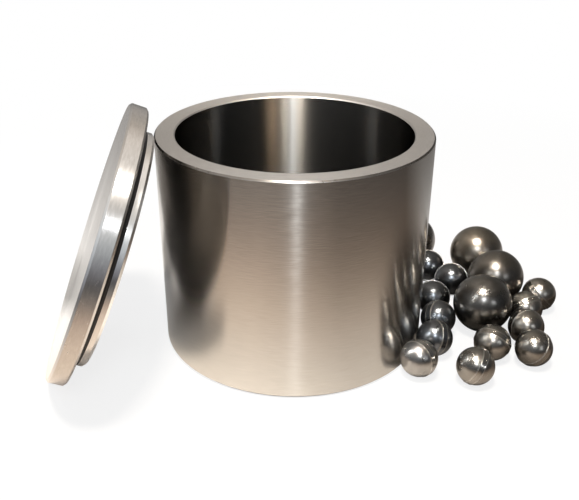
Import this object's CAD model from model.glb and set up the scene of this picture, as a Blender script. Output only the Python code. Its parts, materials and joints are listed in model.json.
"""An open steel grinding jar, its stepped lid leaning on the rim, and a heap of
large and small steel balls. Metres, +Z up, the origin at the jar's base centre."""

import json
import math

import bpy
import numpy as np
from mathutils import Matrix, Vector


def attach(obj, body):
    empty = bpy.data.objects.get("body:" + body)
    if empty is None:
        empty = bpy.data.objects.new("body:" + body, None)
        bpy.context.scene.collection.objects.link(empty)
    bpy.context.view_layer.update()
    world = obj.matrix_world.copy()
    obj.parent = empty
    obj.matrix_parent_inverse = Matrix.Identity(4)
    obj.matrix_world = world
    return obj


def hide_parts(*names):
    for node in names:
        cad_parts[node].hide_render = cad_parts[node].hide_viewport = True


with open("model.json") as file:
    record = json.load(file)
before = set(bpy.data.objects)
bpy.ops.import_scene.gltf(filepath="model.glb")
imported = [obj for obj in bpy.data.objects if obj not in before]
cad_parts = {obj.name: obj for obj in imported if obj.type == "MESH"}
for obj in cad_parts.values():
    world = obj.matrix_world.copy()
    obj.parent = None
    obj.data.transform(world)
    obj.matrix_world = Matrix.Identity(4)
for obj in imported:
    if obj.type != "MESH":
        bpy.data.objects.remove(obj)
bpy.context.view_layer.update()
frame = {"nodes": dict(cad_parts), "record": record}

# The camera: it stands in front of the jar and above it, and looks down on the
# heap as the photograph does.
camera_place = Vector((0.0, -0.29767, 0.18627))
camera_pitch = -0.4681
camera_yaw = 0.0061
camera_roll = 0.0064
photo_width_px = 579
focal_px = 786.1


def in_scene(name, data):
    """A new object that holds the data, linked into the scene."""
    made = bpy.data.objects.new(name, data)
    bpy.context.scene.collection.objects.link(made)
    return made


camera_data = bpy.data.cameras.new("camera")
camera_data.lens = camera_data.sensor_width * focal_px / photo_width_px
camera = in_scene("camera", camera_data)
camera.matrix_world = (
    Matrix.Translation(camera_place)
    @ Matrix.Rotation(camera_yaw, 4, "Z")
    @ Matrix.Rotation(math.pi / 2 + camera_pitch, 4, "X")
    @ Matrix.Rotation(camera_roll, 4, "Z")
)
bpy.context.scene.camera = camera
bpy.context.scene.view_settings.view_transform = "Standard"


# The jar: turned from stainless bar and bored out, with a broad flat rim. Its
# outside is brushed round the axis, its bore is honed and has darkened in use,
# and every edge is broken by a small chamfer.
mounts = {mount["name"]: mount for mount in frame["record"]["mounts"]}


def node_points(packed_node):
    """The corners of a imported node's mesh, as an array of points."""
    vertices = frame["nodes"][packed_node].data.vertices
    co = np.empty(len(vertices) * 3)
    vertices.foreach_get("co", co)
    return co.reshape(-1, 3)


def rounded_outline(corners, radii, arc_steps=5):
    """A profile (r, h) through corners, each turned by an arc of its radius. The arc of a
    corner runs between the points at radius * tan(turn / 2) from it. A further point on each
    side, at that distance again, keeps the flats beside it flat when they are shaded smooth."""
    corners = np.asarray(corners, float)
    points = [corners[:1]]
    for before, corner, after, radius in zip(corners, corners[1:], corners[2:], radii):
        back = (before - corner) / np.linalg.norm(before - corner)
        on = (after - corner) / np.linalg.norm(after - corner)
        inward = (back + on) / np.linalg.norm(back + on)
        half_angle = math.acos(np.clip(back @ on, -1, 1)) / 2
        reach = radius / math.tan(half_angle)
        middle = corner + inward * radius / math.sin(half_angle)
        start = corner + back * reach - middle
        end = corner + on * reach - middle
        sweep = math.pi - 2 * half_angle
        share = np.linspace(0, 1, arc_steps + 1)[:, None]
        arc = start * np.sin((1 - share) * sweep) + end * np.sin(share * sweep)
        points.append((corner + back * reach * 2)[None])
        points.append(middle + arc / math.sin(sweep))
        points.append((corner + on * reach * 2)[None])
    points.append(corners[-1:])
    return np.concatenate(points)


def square_to(axis):
    """Two unit directions that are square to an axis and to each other."""
    other = [0.0, 1.0, 0.0] if abs(axis[1]) < 0.9 else [1.0, 0.0, 0.0]
    side = np.cross(other, axis)
    side /= np.linalg.norm(side)
    return side, np.cross(axis, side)


def turned(name, profile, centre, axis, sections, finish_of=None):
    """A closed surface of revolution: point(angle, s) = centre + r(s) * (cos(angle) * side +
    sin(angle) * front) + h(s) * axis. The profile starts and ends on the axis, where its ring
    is one point. Its UV map holds the turn of the angle and the length along the profile, and
    finish_of gives the material of each band from the band's middle."""
    axis = np.asarray(axis, float) / np.linalg.norm(axis)
    side, front = square_to(axis)
    r, h = profile[1:-1].T
    angle = np.arange(sections) * 2 * math.pi / sections
    spoke = np.cos(angle)[:, None] * side + np.sin(angle)[:, None] * front
    rings = r[:, None, None] * spoke + h[:, None, None] * axis
    poles = profile[[0, -1], 1][:, None] * axis
    co = np.concatenate([rings.reshape(-1, 3), poles]) + np.asarray(centre)

    bands = len(r) - 1
    around = np.arange(sections)
    ahead = (around + 1) % sections
    low_ring = np.arange(bands)[:, None] * sections
    high_ring = low_ring + sections
    quad_corners = [low_ring + around, low_ring + ahead, high_ring + ahead, high_ring + around]
    quads = np.stack(quad_corners, -1)
    low_pole = np.full(sections, len(co) - 2)
    high_pole = np.full(sections, len(co) - 1)
    top = bands * sections
    low_fan = np.stack([low_pole, ahead, around], -1)
    high_fan = np.stack([high_pole, top + around, top + ahead], -1)
    loops = np.concatenate([quads.ravel(), low_fan.ravel(), high_fan.ravel()]).astype(np.int32)
    sizes = np.concatenate([np.full(bands * sections, 4), np.full(2 * sections, 3)])
    starts = np.concatenate([[0], np.cumsum(sizes)[:-1]]).astype(np.int32)

    length = np.concatenate([[0], np.cumsum(np.hypot(*np.diff(profile, axis=0).T))])
    ring_v = length[1:-1]
    u0 = around / sections
    u1 = (around + 1) / sections
    middle = (u0 + u1) / 2
    quad_u = np.stack([u0, u1, u1, u0], -1)[None].repeat(bands, 0)
    low_u = np.stack([middle, u1, u0], -1)
    high_u = np.stack([middle, u0, u1], -1)
    band_v = np.stack([ring_v[:-1], ring_v[:-1], ring_v[1:], ring_v[1:]], -1)
    quad_v = band_v[:, None].repeat(sections, 1)
    low_v = np.tile([length[0], ring_v[0], ring_v[0]], sections)
    high_v = np.tile([length[-1], ring_v[-1], ring_v[-1]], sections)
    u = np.concatenate([quad_u.ravel(), low_u.ravel(), high_u.ravel()])
    v = np.concatenate([quad_v.ravel(), low_v, high_v])

    mesh = bpy.data.meshes.new(name)
    mesh.vertices.add(len(co))
    mesh.vertices.foreach_set("co", co.ravel())
    mesh.loops.add(len(loops))
    mesh.loops.foreach_set("vertex_index", loops)
    mesh.polygons.add(len(sizes))
    mesh.polygons.foreach_set("loop_start", starts)
    mesh.polygons.foreach_set("use_smooth", np.ones(len(sizes), bool))
    if finish_of is not None:
        band_middles = (profile[1:-2] + profile[2:-1]) / 2
        end_middles = (profile[[0, -1]] + profile[[1, -2]]) / 2
        finish = np.concatenate([finish_of(band_middles), finish_of(end_middles)])
        mesh.polygons.foreach_set("material_index", finish.repeat(sections).astype(np.int32))
    mesh.update(calc_edges=True)
    uv = np.stack([u, v], -1).astype(np.float32)
    mesh.uv_layers.new(name="turn").data.foreach_set("uv", uv.ravel())
    mesh.validate()
    return in_scene(name, mesh)


def node(tree, kind, links=(), **settings):
    """A node with its settings, and its sockets set to values or joined to other sockets."""
    made = tree.nodes.new(kind)
    for key, value in settings.items():
        setattr(made, key, value)
    for key, value in dict(links).items():
        if isinstance(value, bpy.types.NodeSocket):
            tree.links.new(value, made.inputs[key])
        else:
            made.inputs[key].default_value = value
    return made


def math_node(tree, operation, *values):
    """The result of a math node over values and sockets."""
    return node(tree, "ShaderNodeMath", dict(enumerate(values)), operation=operation).outputs[0]


def ranged(tree, value, span, onto=(0.0, 1.0)):
    """A value carried from one span of numbers onto another, and held at its ends."""
    ends = {"From Min": span[0], "From Max": span[1], "To Min": onto[0], "To Max": onto[1]}
    return node(tree, "ShaderNodeMapRange", {"Value": value, **ends}).outputs[0]


def mixed(tree, share, first, second, blend="MIX"):
    """Two colours, mixed by the share of the second."""
    links = {0: share, 6: first, 7: second}
    return node(tree, "ShaderNodeMix", links, data_type="RGBA", blend_type=blend).outputs[2]


def group(name, inputs, outputs):
    """A new shader node group and its two end nodes. All its sockets are numbers but Vector."""
    tree = bpy.data.node_groups.new(name, "ShaderNodeTree")
    for label in inputs:
        kind = "NodeSocketVector" if label == "Vector" else "NodeSocketFloat"
        tree.interface.new_socket(label, in_out="INPUT", socket_type=kind)
    for label in outputs:
        tree.interface.new_socket(label, in_out="OUTPUT", socket_type="NodeSocketFloat")
    return tree, tree.nodes.new("NodeGroupInput"), tree.nodes.new("NodeGroupOutput")


def make_tool_marks():
    """Marks of a tool or an abrasive that runs round the local Z axis: noise that changes fast
    with the radius and the height and slowly round the turn, once fine and once coarse."""
    tree, given, result = group("tool marks", ["Vector", "Fineness", "Run"], ["Fine", "Coarse"])
    x, y, z = node(tree, "ShaderNodeSeparateXYZ", {0: given.outputs["Vector"]}).outputs
    x_squared = math_node(tree, "MULTIPLY", x, x)
    y_squared = math_node(tree, "MULTIPLY", y, y)
    radius = math_node(tree, "SQRT", math_node(tree, "ADD", x_squared, y_squared))
    along = math_node(tree, "ADD", radius, z)
    coarse_share = 0.16
    for label, share, detail in (("Fine", 1.0, 4.0), ("Coarse", coarse_share, 3.0)):
        fast = math_node(tree, "MULTIPLY", given.outputs["Fineness"], share)
        slow = math_node(tree, "MULTIPLY", given.outputs["Run"], share + 0.5)
        across = node(tree, "ShaderNodeCombineXYZ", {
            0: math_node(tree, "MULTIPLY", along, fast),
            1: math_node(tree, "MULTIPLY", y, slow),
            2: math_node(tree, "MULTIPLY", x, slow),
        }).outputs[0]
        noise = node(tree, "ShaderNodeTexNoise", {"Vector": across, "Scale": 1.0, "Detail": detail})
        tree.links.new(noise.outputs[0], result.inputs[label])
    return tree


def make_handling():
    """Wear from use: soft smudges where hands have been, and fine scratches in all directions,
    which are the lines along which a twisted noise passes through its middle value."""
    sizes = ["Smudge size", "Scratch size"]
    tree, given, result = group("handling", ["Vector", *sizes], ["Smudge", "Scratch"])
    smudge = node(tree, "ShaderNodeTexNoise", {
        "Vector": given.outputs["Vector"], "Scale": given.outputs["Smudge size"],
        "Detail": 5.0, "Distortion": 0.6,
    }).outputs[0]
    twisted = node(tree, "ShaderNodeTexNoise", {
        "Vector": given.outputs["Vector"], "Scale": given.outputs["Scratch size"],
        "Detail": 1.0, "Distortion": 2.5,
    }).outputs[0]
    off_middle = math_node(tree, "ABSOLUTE", math_node(tree, "SUBTRACT", twisted, 0.5))
    half_line = 0.08
    scratch = ranged(tree, off_middle, (0.0, half_line), (1.0, 0.0))
    tree.links.new(smudge, result.inputs["Smudge"])
    tree.links.new(scratch, result.inputs["Scratch"])
    return tree


def new_material(name):
    """A material, its node tree, and the shader that stands in it."""
    material = bpy.data.materials.new(name)
    material.use_nodes = True
    tree = material.node_tree
    return material, tree, tree.nodes["Principled BSDF"]


def raise_relief(tree, shader, height, distance, strength=1.0):
    """Bumps a surface by a height of 0 to 1 over a distance."""
    links = {"Strength": strength, "Distance": distance, "Height": height}
    bump = node(tree, "ShaderNodeBump", links)
    tree.links.new(bump.outputs[0], shader.inputs["Normal"])


tool_marks = make_tool_marks()
handling = make_handling()
across_marks = 0.25


def turned_steel(name, colour, roughness, anisotropic, marks, fineness, run, grain,
                 smudge=0.06, place=None, glancing=1.0):
    """Bare steel whose marks run round an axis: metallic, with its gloss drawn out across the
    marks. marks and smudge are how far the colour and the roughness follow the marks and the
    handling, and grain is how high the marks stand."""
    material, tree, shader = new_material(name)
    where = node(tree, "ShaderNodeTexCoord").outputs["Object"]
    if place is not None:
        turn = {"Vector": where, "Location": place[0], "Rotation": place[1]}
        where = node(tree, "ShaderNodeMapping", turn, vector_type="TEXTURE").outputs[0]
    runs = {"Vector": where, "Fineness": fineness, "Run": run}
    lines = node(tree, "ShaderNodeGroup", runs, node_tree=tool_marks).outputs
    touched = {"Vector": where, "Smudge size": 45.0}
    used = node(tree, "ShaderNodeGroup", touched, node_tree=handling).outputs

    fine_share = 0.85
    coarse_share = 0.15
    noise_span = (0.3, 0.7)
    darkening = marks * 0.3
    dulling = marks * 0.2
    fine = math_node(tree, "MULTIPLY", lines["Fine"], fine_share)
    coarse = math_node(tree, "MULTIPLY", lines["Coarse"], coarse_share)
    both = math_node(tree, "ADD", fine, coarse)
    shade = ranged(tree, both, noise_span, (1 - darkening, 1.0))
    tint = mixed(tree, 1.0, (*colour, 1), shade, blend="MULTIPLY")
    tree.links.new(tint, shader.inputs["Base Color"])
    rough_span = (roughness * (1 - dulling), roughness * (1 + dulling))
    rough = ranged(tree, both, noise_span, rough_span)
    off_middle = math_node(tree, "SUBTRACT", used["Smudge"], 0.5)
    dulled = math_node(tree, "MULTIPLY_ADD", off_middle, smudge, rough)
    tree.links.new(dulled, shader.inputs["Roughness"])
    raise_relief(tree, shader, both, grain)
    tangent = node(tree, "ShaderNodeTangent", direction_type="UV_MAP", uv_map="turn")
    tree.links.new(tangent.outputs[0], shader.inputs["Tangent"])
    shader.inputs["Metallic"].default_value = 1.0
    shader.inputs["Specular Tint"].default_value = (glancing, glancing, glancing, 1)
    shader.inputs["Anisotropic"].default_value = anisotropic
    shader.inputs["Anisotropic Rotation"].default_value = across_marks
    return material


def finish_piece(piece, body, slot, replaced, *materials):
    """Gives a piece its materials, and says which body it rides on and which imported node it
    stands for."""
    for material in materials:
        piece.data.materials.append(material)
    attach(piece, body)
    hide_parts(replaced)


jar_points = node_points("jar")
jar_r = float(np.hypot(jar_points[:, 0], jar_points[:, 1]).max())
jar_h = float(jar_points[:, 2].max())
bore_r = mounts["jar_mouth"]["dims"]["r_mm"] / 1000
jar_floor_t = 0.008
jar_corner_r = 0.006
foot_chamfer = 0.001
rim_chamfer = 0.0006
mouth_chamfer = 0.0005
edge_break = 0.00012
slack = 0.000001

jar_corners = [
    (0, 0),
    (jar_r - foot_chamfer, 0),
    (jar_r, foot_chamfer),
    (jar_r, jar_h - rim_chamfer),
    (jar_r - rim_chamfer, jar_h),
    (bore_r + mouth_chamfer, jar_h),
    (bore_r, jar_h - mouth_chamfer),
    (bore_r, jar_floor_t),
    (0, jar_floor_t),
]
jar_profile = rounded_outline(jar_corners, [edge_break] * 6 + [jar_corner_r])


def jar_finish(middle):
    """0 on the brushed outside, 1 on the rim and the base, 2 in the bore and on its floor, 3 on
    the rim's chamfer."""
    r, h = middle.T
    outside = (r > jar_r - slack) & (h > foot_chamfer) & (h < jar_h - rim_chamfer)
    inside = (h > jar_floor_t - slack) & (r < bore_r + slack)
    cut = (r > jar_r - rim_chamfer + slack) & (h > jar_h - rim_chamfer - slack)
    return np.where(outside, 0, np.where(inside, 2, np.where(cut, 3, 1)))


jar_centre = (0, 0, 0)
jar_axis = (0, 0, 1)
jar = turned("jar_shell", jar_profile, jar_centre, jar_axis, sections=384, finish_of=jar_finish)
finish_piece(
    jar, "jar", "jar_steel", "jar",
    turned_steel(
        "brushed steel", (0.565, 0.545, 0.52), roughness=0.155, anisotropic=1.0,
        marks=0.4, fineness=2600.0, run=150.0, grain=0.000025, smudge=0.01,
    ),
    turned_steel(
        "faced steel", (0.52, 0.505, 0.49), roughness=0.4, anisotropic=0.3,
        marks=0.5, fineness=2600.0, run=220.0, grain=0.00002,
    ),
    turned_steel(
        "honed steel", (0.2, 0.195, 0.187), roughness=0.21, anisotropic=1.0,
        marks=0.15, fineness=1400.0, run=120.0, grain=0.000001, smudge=0.0, glancing=0.1,
    ),
    turned_steel(
        "cut edge", (0.2, 0.185, 0.17), roughness=0.28, anisotropic=0.6,
        marks=0.4, fineness=1400.0, run=220.0, grain=0.000004,
    ),
)


# The lid: a steel disc as wide as the jar, turned in one piece with a spigot
# that enters the bore and a narrow groove for the seal at the spigot's root.
# It leans on the jar's rim with its plain face outwards.
clamp_face = mounts["lid_clamp_face"]
lid_centre = Vector(clamp_face["pos_m"])
lid_axis = -Vector(clamp_face["axis"])
lid_points = node_points("lid") - np.array(lid_centre)
lid_heights = lid_points @ np.array(lid_axis)
lid_radii = np.linalg.norm(lid_points - lid_heights[:, None] * np.array(lid_axis), axis=1)
lid_r = float(lid_radii.max())
lid_t = float(lid_heights.max())
flange_t = 0.007
flange_chamfer = 0.0008
spigot_play = 0.0005
spigot_r = bore_r - spigot_play
spigot_chamfer = 0.001
groove_w = 0.002
groove_depth = 0.0017
groove_r = bore_r - groove_depth

lid_corners = [
    (0, 0),
    (lid_r - flange_chamfer, 0),
    (lid_r, flange_chamfer),
    (lid_r, flange_t - flange_chamfer),
    (lid_r - flange_chamfer, flange_t),
    (groove_r, flange_t),
    (groove_r, flange_t + groove_w),
    (spigot_r, flange_t + groove_w),
    (spigot_r, lid_t - spigot_chamfer),
    (spigot_r - spigot_chamfer, lid_t),
    (0, lid_t),
]
lid_profile = rounded_outline(lid_corners, [edge_break] * 9)


def lid_finish(middle):
    """0 on the edge of the flange, 1 on the outer face and its chamfer, 2 inside, 3 round the
    spigot."""
    r, h = middle.T
    edge = (r > lid_r - flange_chamfer) & (h > flange_chamfer)
    inside = (h > flange_t - slack) & (r < lid_r - flange_chamfer)
    on_spigot = (h > flange_t + groove_w - slack) & (h < lid_t - slack)
    spigot = inside & on_spigot & (r > spigot_r - spigot_chamfer)
    return np.where(edge, 0, np.where(spigot, 3, np.where(inside, 2, 1)))


lid_turn = lid_axis.to_track_quat("Z", "Y").to_euler()
lid_place = (lid_centre, lid_turn)
lid = turned("lid_disc", lid_profile, lid_centre, lid_axis, sections=384, finish_of=lid_finish)
finish_piece(
    lid, "lid", "lid_steel", "lid",
    turned_steel(
        "turned lid edge", (0.67, 0.65, 0.63), roughness=0.25, anisotropic=0.88,
        marks=0.5, fineness=1400.0, run=220.0, grain=0.000008, place=lid_place,
    ),
    turned_steel(
        "faced lid", (0.7, 0.69, 0.68), roughness=0.22, anisotropic=0.6,
        marks=0.3, fineness=1400.0, run=220.0, grain=0.000005, place=lid_place,
    ),
    turned_steel(
        "worn lid face", (0.125, 0.118, 0.11), roughness=0.2, anisotropic=0.6,
        marks=0.5, fineness=1400.0, run=90.0, grain=0.000005, place=lid_place,
    ),
    turned_steel(
        "ground spigot", (0.8, 0.79, 0.78), roughness=0.2, anisotropic=0.8,
        marks=0.4, fineness=1400.0, run=220.0, grain=0.000005, place=lid_place,
    ),
)


# The seal: a round-section ring of black nitrile rubber, stretched into the
# groove, which the bore squeezes when the lid is on.
ring_section = 0.0018


def ring(name, centre, axis, middle_r, section_r, sections=288, ribs=20):
    """A closed ring of round section: point(angle, turn) = centre + (middle_r + section_r *
    cos(turn)) * spoke(angle) + section_r * sin(turn) * axis."""
    side, front = square_to(axis)
    angle = np.arange(sections)[:, None] * 2 * math.pi / sections
    turn = np.arange(ribs)[None] * 2 * math.pi / ribs
    spoke = np.cos(angle)[..., None] * side + np.sin(angle)[..., None] * front
    outwards = (middle_r + section_r * np.cos(turn))[..., None] * spoke
    upwards = (section_r * np.sin(turn))[..., None] * np.asarray(axis, float)
    co = np.asarray(centre) + outwards + upwards
    here = np.arange(sections)[:, None]
    rib = np.arange(ribs)
    ahead = (here + 1) % sections
    next_rib = (rib + 1) % ribs
    quads = [here * ribs + rib, ahead * ribs + rib, ahead * ribs + next_rib, here * ribs + next_rib]
    faces = np.stack(quads, -1).reshape(-1, 4)
    mesh = bpy.data.meshes.new(name)
    mesh.from_pydata(co.reshape(-1, 3), [], faces)
    mesh.polygons.foreach_set("use_smooth", np.ones(len(faces), bool))
    return in_scene(name, mesh)


def rubber(name, colour):
    """Matte black rubber with a moulded bloom that varies its roughness."""
    material, tree, shader = new_material(name)
    where = node(tree, "ShaderNodeTexCoord").outputs["Object"]
    specks = {"Vector": where, "Scale": 900.0, "Detail": 4.0}
    bloom = node(tree, "ShaderNodeTexNoise", specks).outputs[0]
    bloom_gain = 1.8
    paler = tuple(c * bloom_gain for c in colour)
    shade = mixed(tree, bloom, (*colour, 1), (*paler, 1))
    tree.links.new(shade, shader.inputs["Base Color"])
    rough = ranged(tree, bloom, (0.0, 1.0), (0.5, 0.8))
    tree.links.new(rough, shader.inputs["Roughness"])
    raise_relief(tree, shader, bloom, distance=0.00002, strength=0.6)
    return material


seal_centre = lid_centre + lid_axis * (flange_t + groove_w / 2)
seal = ring("seal", seal_centre, lid_axis, groove_r + ring_section / 2, ring_section / 2)
black_rubber = rubber("black rubber", (0.018, 0.018, 0.018))
finish_piece(seal, "lid", "seal_rubber", "seal_ring", black_rubber)


# The large balls: through-hardened steel, ground and tumbled smooth. They are
# dark and a little brown, with a soft gloss that use has dulled.
large_r = 0.0125
large_axis = (1.0, 0.2, -0.1)
large_polish = 0.5
large_finishes = {
    "large_ball_1": ((0.24, 0.232, 0.22), 0.28),
    "large_ball_2": ((0.27, 0.252, 0.23), 0.3),
    "large_ball_3": ((0.4, 0.36, 0.31), 0.3),
    "large_ball_4": ((0.24, 0.23, 0.22), 0.27),
}
balls = []


def ball_steel(name, colour, roughness, polish):
    """Dark hardened steel: a blurred metal gloss under a thin clear film with a sharper one.
    The colour is clouded by faint stains, and fine scratches and dents break the gloss."""
    material, tree, shader = new_material(name)
    where = node(tree, "ShaderNodeTexCoord").outputs["Object"]
    touched = {"Vector": where, "Smudge size": 140.0, "Scratch size": 420.0}
    used = node(tree, "ShaderNodeGroup", touched, node_tree=handling).outputs
    stain = ranged(tree, used["Smudge"], (0.35, 0.7))
    stain_tone = 0.72
    darker = tuple(c * stain_tone for c in colour)
    shade = mixed(tree, stain, (*darker, 1), (*colour, 1))
    tree.links.new(shade, shader.inputs["Base Color"])
    rough_span = (roughness * 0.95, roughness * 1.06)
    rough = ranged(tree, used["Smudge"], (0.3, 0.7), rough_span)
    scratch_dulling = 0.01
    scratched = math_node(tree, "MULTIPLY_ADD", used["Scratch"], scratch_dulling, rough)
    tree.links.new(scratched, shader.inputs["Roughness"])
    knocks = {"Vector": where, "Scale": 300.0, "Detail": 2.0}
    dents = node(tree, "ShaderNodeTexNoise", knocks).outputs[0]
    scratch_height = -0.01
    relief = math_node(tree, "MULTIPLY_ADD", used["Scratch"], scratch_height, dents)
    raise_relief(tree, shader, relief, distance=0.0000015)
    shader.inputs["Metallic"].default_value = 1.0
    shader.inputs["Coat Weight"].default_value = polish
    shader.inputs["Coat Roughness"].default_value = 0.22
    return material


def ball_arc(radius, last, steps):
    """A ball's outline from its low pole up: r = radius * sin(t) and h = -radius * cos(t), for
    t from 0 to last in even steps."""
    t = np.linspace(0, last, steps)
    return np.stack([radius * np.sin(t), -radius * np.cos(t)], -1)


for ball_node, (colour, roughness) in large_finishes.items():
    points = node_points(ball_node)
    centre = (points.min(0) + points.max(0)) / 2
    centre[2] = large_r
    profile = ball_arc(large_r, last=math.pi, steps=128)
    profile[[0, -1], 0] = 0
    ball = turned(ball_node + "_polished", profile, centre, large_axis, sections=192)
    steel = ball_steel(ball_node + " steel", colour, roughness, large_polish)
    finish_piece(ball, ball_node, "large_ball_steel", ball_node, steel)
    balls.append(ball)


# The small balls: formed hot between two dies and tumbled, but not ground,
# so that the belt where the dies met still stands out round the middle.
small_r = 0.0075
belt_r = 0.0076
belt_w = 0.0024
belt_edge_r = 0.00005
worn_w = 0.00025
belt_gain = 1.15
near_jar = (0.21, 0.225, 0.245)
warm = (0.43, 0.41, 0.38)
bright = (0.5, 0.487, 0.475)
worn_edge = (0.66, 0.64, 0.61)
small_colours = [
    near_jar, near_jar, near_jar, bright, warm, near_jar,
    near_jar, warm, warm, warm, warm, warm,
]


def belted_profile():
    """The half outline of a small ball, from pole to pole. The belt is a straight land of
    radius belt_r and width belt_w round the middle, with its edges rounded, and a point near
    each end of the land bounds the edge that rubbing has brightened."""
    arc = ball_arc(small_r, last=math.acos(belt_w / 2 / small_r), steps=40)
    mirrored = arc[::-1] * (1, -1)
    belt_corners = [(belt_r, -belt_w / 2), (belt_r, belt_w / 2)]
    corners = np.array([arc[-2], arc[-1], *belt_corners, mirrored[0], mirrored[1]])
    radii = [belt_edge_r / 2, belt_edge_r, belt_edge_r, belt_edge_r / 2]
    land = rounded_outline(corners, radii, arc_steps=3)
    worn_ends = [(belt_r, worn_w - belt_w / 2), (belt_r, belt_w / 2 - worn_w)]
    land = np.insert(land, len(land) // 2, worn_ends, axis=0)
    return np.concatenate([arc[:-1], land[1:-1], mirrored[1:]])


def belt_axis(points, centre):
    """The direction square to the belt: the least spread of the points that stand out of the
    ball."""
    out = points - centre
    standing = out[np.linalg.norm(out, axis=1) > belt_r]
    return np.linalg.svd(standing, full_matrices=False)[2][-1]


def belt_finish(middle):
    """0 on the ball, 1 on the belt, 2 along the belt's edges, which rubbing has brightened."""
    off = abs(middle[:, 1])
    return np.where(off < belt_w / 2 - worn_w, 1, np.where(off < belt_w / 2 + worn_w, 2, 0))


for number, colour in enumerate(small_colours, 1):
    ball_node = f"small_ball_{number}"
    points = node_points(ball_node)
    centre = (points.min(0) + points.max(0)) / 2
    axis = belt_axis(points, centre)
    ball = turned(
        ball_node + "_formed", belted_profile(), centre, axis, sections=144, finish_of=belt_finish,
    )
    paler = tuple(c * belt_gain for c in colour)
    finish_piece(
        ball, ball_node, "small_ball_steel", ball_node,
        ball_steel(ball_node + " steel", colour, roughness=0.28, polish=0.25),
        ball_steel(ball_node + " belt", paler, roughness=0.24, polish=0.4),
        ball_steel(ball_node + " worn edge", worn_edge, roughness=0.33, polish=0.3),
    )
    balls.append(ball)


# The bench: a wide pale top that is white to the camera but keeps the shadows.
# In the steel its tone falls off from the jar, as in a dim room, and is darkest
# under the heap and behind the lid.
bench_reach = 4.0
bench_drop = 0.00002
bench_corners = [
    (-bench_reach, -bench_reach, -bench_drop),
    (bench_reach, -bench_reach, -bench_drop),
    (bench_reach, bench_reach, -bench_drop),
    (-bench_reach, bench_reach, -bench_drop),
]


def staged(name, co, faces):
    """A staged object from points and faces."""
    mesh = bpy.data.meshes.new(name)
    mesh.from_pydata(co, [], faces)
    made = in_scene(name, mesh)
    return made


def ramp(tree, value, stops):
    """A colour ramp over a value, with its stops as (place, colour)."""
    made = node(tree, "ShaderNodeValToRGB", {0: value})
    elements = made.color_ramp.elements
    for end, (place, colour) in ((elements[0], stops[0]), (elements[1], stops[-1])):
        end.position = place
        end.color = (*colour, 1)
    for place, colour in stops[1:-1]:
        elements.new(place).color = (*colour, 1)
    return made.outputs[0]


def spot(tree, x, y, middle, radii, least):
    """How much of the tone is left at a dark oval spot: least within it, and all outside it.
    The distance from its middle is sqrt((dx / radius)^2 + (dy / radius)^2)."""
    squares = []
    for value, at, radius in zip((x, y), middle, radii):
        off = math_node(tree, "DIVIDE", math_node(tree, "SUBTRACT", value, at), radius)
        squares.append(math_node(tree, "POWER", math_node(tree, "ABSOLUTE", off), 2.0))
    distance = math_node(tree, "SQRT", math_node(tree, "ADD", *squares))
    return ranged(tree, distance, (0.7, 1.3), (least, 1.0))


def bench_tone(tree, where, distance):
    """The bench's tone in reflections: warm and pale at the jar, and darker away from it, to
    the right and in the spots. It is paler behind the jar than before it."""
    share = math_node(tree, "MULTIPLY", distance, 2.0)
    before = ramp(tree, share, [
        (0.0, (0.95, 0.89, 0.82)), (0.14, (0.97, 0.89, 0.8)), (0.19, (0.9, 0.79, 0.69)),
        (0.24, (0.74, 0.62, 0.51)), (0.3, (0.58, 0.47, 0.385)), (0.38, (0.36, 0.285, 0.235)),
        (0.47, (0.235, 0.208, 0.188)), (0.6, (0.165, 0.158, 0.152)), (1.0, (0.14, 0.143, 0.147)),
    ])
    behind = ramp(tree, share, [
        (0.0, (0.95, 0.93, 0.91)), (0.3, (0.95, 0.94, 0.93)), (0.45, (0.6, 0.59, 0.58)),
        (0.65, (0.4, 0.39, 0.38)), (1.0, (0.32, 0.31, 0.3)),
    ])
    x, y, _ = node(tree, "ShaderNodeSeparateXYZ", {0: where}).outputs
    leftward = math_node(tree, "MULTIPLY_ADD", math_node(tree, "MINIMUM", x, 0.0), -0.8, y)
    to_the_back = ranged(tree, leftward, (0.0, 0.1))
    cloth = mixed(tree, to_the_back, before, behind)

    never_zero = math_node(tree, "ADD", distance, 0.001)
    rightward = math_node(tree, "DIVIDE", x, never_zero)
    left_to_right = (-0.4, 0.5)
    near_share = ranged(tree, rightward, left_to_right, (1.0, 0.66))
    far_share = ranged(tree, rightward, left_to_right, (1.0, 0.48))
    away = ranged(tree, distance, (0.1, 0.17))
    dimmed = node(tree, "ShaderNodeMix", {0: away, 2: near_share, 3: far_share}).outputs[0]
    under_heap = spot(tree, x, y, middle=(0.105, 0.005), radii=(0.06, 0.05), least=0.12)
    behind_lid = spot(tree, x, y, middle=(-0.112, 0.045), radii=(0.027, 0.031), least=0.35)
    over_heap = math_node(tree, "MULTIPLY", dimmed, under_heap)
    shaded = math_node(tree, "MULTIPLY", over_heap, behind_lid)
    scaled = {0: cloth, "Scale": shaded}
    return node(tree, "ShaderNodeVectorMath", scaled, operation="SCALE").outputs[0]


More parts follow.
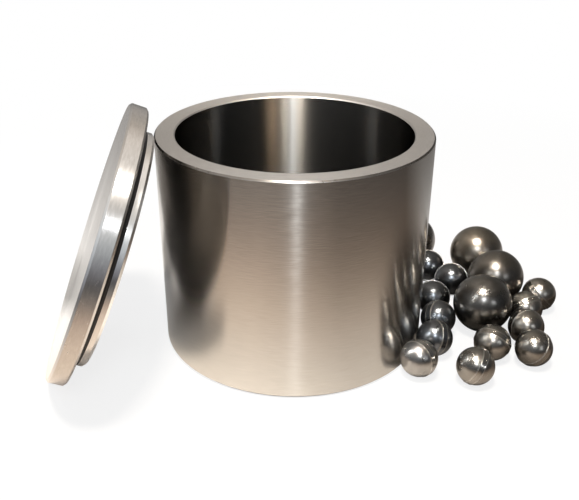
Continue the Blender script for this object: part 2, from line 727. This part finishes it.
bench = staged("bench", bench_corners, [(0, 1, 2, 3)])
bench_material, tree, _ = new_material("pale bench")
tree.nodes.clear()
where = node(tree, "ShaderNodeTexCoord").outputs["Object"]
distance = node(tree, "ShaderNodeVectorMath", {0: where}, operation="LENGTH").outputs["Value"]
in_steel = node(tree, "ShaderNodeBsdfDiffuse", {"Color": bench_tone(tree, where, distance)})
shadowed = node(tree, "ShaderNodeBsdfDiffuse", {"Color": (0.9, 0.9, 0.9, 1)})
white = node(tree, "ShaderNodeEmission", {"Color": (1, 1, 1, 1), "Strength": 1.0})
whiteness = ranged(tree, distance, (0.12, 0.4), (0.8, 1.0))
by_camera = node(tree, "ShaderNodeMixShader", {
    0: whiteness, 1: shadowed.outputs[0], 2: white.outputs[0],
})
bench_surface = node(tree, "ShaderNodeMixShader", {
    0: node(tree, "ShaderNodeLightPath").outputs["Is Camera Ray"],
    1: in_steel.outputs[0],
    2: by_camera.outputs[0],
})
node(tree, "ShaderNodeOutputMaterial", {0: bench_surface.outputs[0]})
bench_material.cycles.emission_sampling = "NONE"
bench.data.materials.append(bench_material)


# The tents: half globes of dim cloth that stand in for the room and that only
# the steel reflects. One is for the jar and the lid, and a thinner, darker one
# inside it is for the balls.
def light_only(source, lit):
    """Keeps a lamp's or a cloth's light on the pieces in lit, as flags do in a studio."""
    receivers = bpy.data.collections.new(source.name + " receivers")
    for piece in lit:
        receivers.objects.link(piece)
    source.light_linking.receiver_collection = receivers


def cloth_tent(name, radius, in_front, behind, sides, lit, thin):
    """Half a globe of glowing cloth: point(rise, bearing) = radius * (cos(rise) * cos(bearing),
    cos(rise) * sin(bearing), sin(rise)). Only the gloss of the pieces in lit sees it. Its tones
    run from the bench to the top, in front and behind, and sides says where its strength starts
    and ends to change towards the right, and its strength on the left and on the right. A thin
    cloth also lets through what is behind it."""
    ribs = 48
    rows = 25
    bearing = np.arange(ribs) * 2 * math.pi / ribs
    rise = np.linspace(0, math.pi / 2, rows)[:, None]
    level = np.cos(rise)
    upward = np.sin(rise) * np.ones(ribs)
    co = radius * np.stack([level * np.cos(bearing), level * np.sin(bearing), upward], -1)
    rib = np.arange(ribs)
    ahead = (rib + 1) % ribs
    low = np.arange(rows - 1)[:, None] * ribs
    high = low + ribs
    faces = np.stack([low + rib, high + rib, high + ahead, low + ahead], -1).reshape(-1, 4)
    made = staged(name, co.reshape(-1, 3), faces)
    for ray in ("camera", "diffuse", "shadow", "transmission"):
        setattr(made, "visible_" + ray, False)

    material, tree, _ = new_material(name + " cloth")
    tree.nodes.clear()
    where = node(tree, "ShaderNodeTexCoord").outputs["Object"]
    way = node(tree, "ShaderNodeVectorMath", {0: where}, operation="NORMALIZE").outputs[0]
    x, y, height = node(tree, "ShaderNodeSeparateXYZ", {0: way}).outputs
    strength = ranged(tree, x, sides[:2], sides[2:])
    backness = ranged(tree, y, (-0.2, 0.4))
    cloth = mixed(tree, backness, ramp(tree, height, in_front), ramp(tree, height, behind))
    glow = node(tree, "ShaderNodeEmission", {"Color": cloth, "Strength": strength})
    if thin:
        clear = node(tree, "ShaderNodeBsdfTransparent")
        glow = node(tree, "ShaderNodeAddShader", {0: glow.outputs[0], 1: clear.outputs[0]})
    node(tree, "ShaderNodeOutputMaterial", {0: glow.outputs[0]})
    material.cycles.emission_sampling = "NONE"
    made.data.materials.append(material)
    light_only(made, lit)


cloth_tent(
    "tent", 1.6,
    in_front=[
        (0.0, (0.16, 0.16, 0.17)), (0.12, (0.27, 0.27, 0.3)), (0.23, (0.39, 0.41, 0.44)),
        (0.34, (0.56, 0.59, 0.62)), (0.44, (0.74, 0.79, 0.82)), (0.53, (0.9, 0.93, 0.95)),
        (0.7, (0.95, 0.94, 0.92)), (0.85, (1.15, 1.08, 1.0)), (1.0, (1.25, 1.18, 1.1)),
    ],
    behind=[
        (0.0, (0.25, 0.24, 0.23)), (0.34, (0.45, 0.42, 0.39)), (0.57, (0.5, 0.46, 0.41)),
        (0.71, (0.64, 0.57, 0.5)), (0.87, (1.15, 1.06, 0.97)), (1.0, (1.25, 1.18, 1.1)),
    ],
    sides=(0.25, 0.6, 1.1, 0.45), lit=(jar, lid, seal), thin=False,
)
cloth_tent(
    "tent over the balls", 1.5,
    in_front=[
        (0.0, (0.045, 0.045, 0.05)), (0.2, (0.08, 0.085, 0.09)), (0.5, (0.12, 0.125, 0.13)),
        (0.8, (0.19, 0.175, 0.155)), (1.0, (0.3, 0.265, 0.22)),
    ],
    behind=[
        (0.0, (0.2, 0.19, 0.18)), (0.5, (0.2, 0.185, 0.16)), (0.8, (0.3, 0.27, 0.23)),
        (1.0, (0.3, 0.27, 0.23)),
    ],
    sides=(-0.5, 0.5, 1.8, 0.65), lit=balls, thin=True,
)


# The lamps: small soft lamps overhead and in front, most of them flagged to
# light one piece. Narrow ones in front of the jar and the bore make the thin
# bright streaks that brushed and honed steel shows.
def lamp(name, place, size, power, colour, lit=(), aim=(0.02, 0.0, 0.04), beam=math.pi):
    """A soft rectangular lamp, size across and high, that faces its aim. It lights everything,
    or only the pieces named in lit, and the beam is the angle that a grid leaves it."""
    data = bpy.data.lights.new(name, "AREA")
    data.shape = "RECTANGLE"
    data.size = size[0]
    data.size_y = size[1]
    data.energy = power
    data.color = colour
    data.spread = beam
    made = in_scene(name, data)
    away = Vector(place) - Vector(aim)
    turn = away.to_track_quat("Z", "Y").to_matrix().to_4x4()
    made.matrix_world = Matrix.Translation(place) @ turn
    if lit:
        light_only(made, lit)


cool = (0.92, 0.96, 1.0)
icy = (0.84, 0.93, 1.0)
pearl = (1.0, 0.96, 0.9)
soft_warm = (1.0, 0.93, 0.84)
lamplight = (1.0, 0.88, 0.74)
amber = (1.0, 0.7, 0.42)
lamp("overhead lamp", place=(-0.05, -0.24, 0.95), size=(0.14, 0.14), power=8.0, colour=soft_warm)
lamp(
    "overhead lamp on the balls", place=(-0.05, -0.24, 0.93), size=(0.14, 0.14),
    power=4.0, colour=lamplight, lit=balls,
)
lamp(
    "front lamp on the balls", place=(0.017, -0.35, 0.36), size=(0.035, 0.035),
    power=0.45, colour=cool, lit=balls,
)
lamp(
    "side lamp on the balls", place=(0.51, -0.65, 0.42), size=(0.05, 0.05),
    power=0.3, colour=cool, lit=balls,
)
lamp(
    "overhead lamp on the lid", place=(-0.05, -0.24, 0.97), size=(0.22, 0.22),
    power=7.0, colour=pearl, lit=(lid,),
)
lamp(
    "front lamp on the lid", place=(0.0175, -0.36, 0.366), size=(0.045, 0.07),
    power=0.25, colour=cool, lit=(lid,),
)
lamp(
    "front lamp on the bench", place=(0.0, -0.4, 0.36), size=(0.1, 0.1),
    power=0.6, colour=cool, lit=(bench,), aim=(-0.08, -0.03, 0.0),
)
lamp(
    "back lamp on the bench", place=(-0.9, 0.8, 0.7), size=(0.5, 0.5),
    power=2.1, colour=cool, lit=(bench,), aim=(-0.6, 0.5, 0.0), beam=math.radians(90.0),
)
lamp(
    "front lamp on the jar", place=(0.014, -0.35, 0.36), size=(0.016, 0.07),
    power=3.2, colour=icy, lit=(jar,),
)
lamp(
    "lower front lamp on the jar", place=(0.014, -0.35, 0.27), size=(0.014, 0.05),
    power=1.4, colour=pearl, lit=(jar,),
)

above_bore = (0.0, 0.047, 0.125)
bore_beam = math.radians(20.0)
lamp(
    "warm lamp in the bore", place=(-0.035, -0.35, 0.36), size=(0.01, 0.05),
    power=0.1, colour=lamplight, lit=(jar,), aim=above_bore, beam=bore_beam,
)
lamp(
    "near lamp in the bore", place=(0.075, -0.35, 0.36), size=(0.006, 0.05),
    power=0.08, colour=lamplight, lit=(jar,), aim=above_bore, beam=bore_beam,
)
lamp(
    "far lamp in the bore", place=(0.2, -0.4, 0.42), size=(0.02, 0.05),
    power=0.05, colour=amber, lit=(jar,), aim=above_bore, beam=bore_beam,
)


# The room: plain white to the camera and in reflections, and a dim grey light
# for all that is matte.
dim_grey = (0.3, 0.3, 0.31, 1)
plain_white = (1, 1, 1, 1)
world = bpy.data.worlds.new("room")
world.use_nodes = True
tree = world.node_tree
tree.nodes.clear()
path = node(tree, "ShaderNodeLightPath").outputs
reflected = math_node(tree, "MAXIMUM", path["Is Glossy Ray"], path["Is Transmission Ray"])
shown = math_node(tree, "MAXIMUM", path["Is Camera Ray"], reflected)
room = mixed(tree, shown, dim_grey, plain_white)
backdrop = node(tree, "ShaderNodeBackground", {"Color": room, "Strength": 1.0})
node(tree, "ShaderNodeOutputWorld", {0: backdrop.outputs[0]})
bpy.context.scene.world = world
